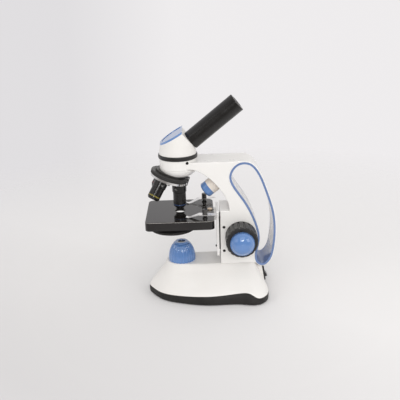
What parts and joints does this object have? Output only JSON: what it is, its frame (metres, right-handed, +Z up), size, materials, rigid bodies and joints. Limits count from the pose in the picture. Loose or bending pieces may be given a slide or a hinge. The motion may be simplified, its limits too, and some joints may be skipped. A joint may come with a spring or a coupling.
{
  "type": "student microscope",
  "caption": "Monocular student microscope with swivel head, inclined tube, objective turret, stage with clips, coaxial focus, lamps above and below, and a handle bow behind the arm.",
  "frame": {"origin": "bottom centre of the instrument's box, on the surface it stands on", "axes": "+Z up; +X from the stage and nose towards the handle; -Y is the side the picture was taken from"},
  "size_m": [0.1747, 0.1242, 0.2713],
  "materials": {
    "white_shell": "glossy white moulding",
    "white_cast": "white gloss paint on a casting",
    "blue_plastic": "satin blue moulding",
    "black_plastic": "satin black moulding",
    "black_metal": "black anodised and painted metal",
    "stage_black": "glossy black paint",
    "rubber": "matt rubber",
    "steel": "bright steel",
    "dark_steel": "blackened steel",
    "brass": "turned brass",
    "silver": "plated metal",
    "glass": "clear glass",
    "board": "green circuit board",
    "cell": "plain wrapped dry cell"
  },
  "bodies": {
    "stand": {"base_shell": "white_shell", "base_tray": "black_plastic", "rubber_feet": "rubber", "base_screws": "steel", "battery_door": "black_plastic", "battery_cells": "cell", "battery_contacts": "steel", "circuit_board": "board", "dc_socket": "black_plastic", "switch_housing": "black_plastic", "lower_lamp_housing": "blue_plastic", "lower_lamp_lens": "glass", "lamp_leds": "board", "arm_casting": "white_cast", "handle_trims": "blue_plastic", "arm_bolts": "steel", "side_screws": "dark_steel", "slide_guides": "brass", "pinion_bushes": "brass", "head_lock_screw": "dark_steel", "upper_lamp_housing": "white_shell", "upper_lamp_ring": "blue_plastic", "upper_lamp_lens": "glass", "nosepiece_base": "black_metal", "turret_bolt": "steel", "turret_detent": "dark_steel"},
    "rocker": {"switch_rocker": "black_plastic"},
    "head": {"head_housing": "white_shell", "head_collar": "black_plastic", "head_cap": "blue_plastic", "head_prism": "glass", "eyepiece_tube": "black_metal"},
    "eyepiece": {"eyepiece_barrel": "black_plastic", "eyepiece_lenses": "glass"},
    "turret": {"turret_body": "black_metal", "turret_plate": "silver", "objective_high": "black_metal", "objective_mid": "black_metal", "objective_low": "black_metal", "objective_lenses": "glass"},
    "spring_nose": {"objective_nose": "black_metal", "nose_lens": "glass"},
    "stage": {"focus_carriage": "white_cast", "focus_rack": "brass", "stage_plate": "stage_black", "stage_screw": "brass", "diaphragm_pivot": "steel"},
    "aperture_disc": {"diaphragm_disc": "black_plastic"},
    "near_clip": {"near_clip_post": "black_metal", "near_clip_blade": "steel"},
    "far_clip": {"far_clip_post": "black_metal", "far_clip_blade": "steel"},
    "coarse_focus": {"pinion_shaft": "steel", "near_coarse_knob": "black_plastic", "far_coarse_knob": "black_plastic"},
    "fine_focus": {"fine_shaft": "steel", "near_fine_knob": "blue_plastic", "far_fine_knob": "blue_plastic"}
  },
  "joints": [
    {"name": "head_swivel", "type": "hinge", "parent": "stand", "child": "head", "pos_m": [-0.0405, 0, 0.1946], "axis": [0, 0, 1], "continuous": true},
    {"name": "eyepiece_lift", "type": "slide", "parent": "head", "child": "eyepiece", "axis": [0.7837, 0, 0.6211], "range_m": [0, 0.03]},
    {"name": "turret_turn", "type": "hinge", "parent": "stand", "child": "turret", "pos_m": [-0.0405, 0, 0.2008], "axis": [-0.342, 0, -0.9397], "continuous": true},
    {"name": "nose_spring", "type": "slide", "parent": "turret", "child": "spring_nose", "axis": [0, 0, 1], "range_m": [0, 0.0015], "stiffness_N_per_m": 600, "springref_m": -0.0006},
    {"name": "stage_lift", "type": "slide", "parent": "stand", "child": "stage", "axis": [0, 0, 1], "range_m": [-0.0095, 0.0008]},
    {"name": "coarse_turn", "type": "hinge", "parent": "stand", "child": "coarse_focus", "pos_m": [0.0395, 0, 0.0869], "axis": [0, 1, 0], "range_deg": [-102, 9]},
    {"name": "fine_turn", "type": "hinge", "parent": "coarse_focus", "child": "fine_focus", "pos_m": [0.0395, 0, 0.0869], "axis": [0, 1, 0], "continuous": true},
    {"name": "near_clip_swing", "type": "hinge", "parent": "stage", "child": "near_clip", "pos_m": [-0.0075, -0.033, 0.122], "axis": [0, 0, 1], "range_deg": [-30, 20]},
    {"name": "far_clip_swing", "type": "hinge", "parent": "stage", "child": "far_clip", "pos_m": [-0.0075, 0.033, 0.122], "axis": [0, 0, 1], "range_deg": [-20, 30]},
    {"name": "disc_turn", "type": "hinge", "parent": "stage", "child": "aperture_disc", "pos_m": [-0.0505, -0.013, 0.0995], "axis": [0, 0, 1], "continuous": true},
    {"name": "switch_tip", "type": "hinge", "parent": "stand", "child": "rocker", "pos_m": [0.07164, 0, 0.02381], "axis": [0, 1, 0], "range_deg": [0, 20]}
  ],
  "couplings": [
    {"joint": "coarse_turn", "follows": "stage_lift", "rad_per_m": 185.19}
  ]
}
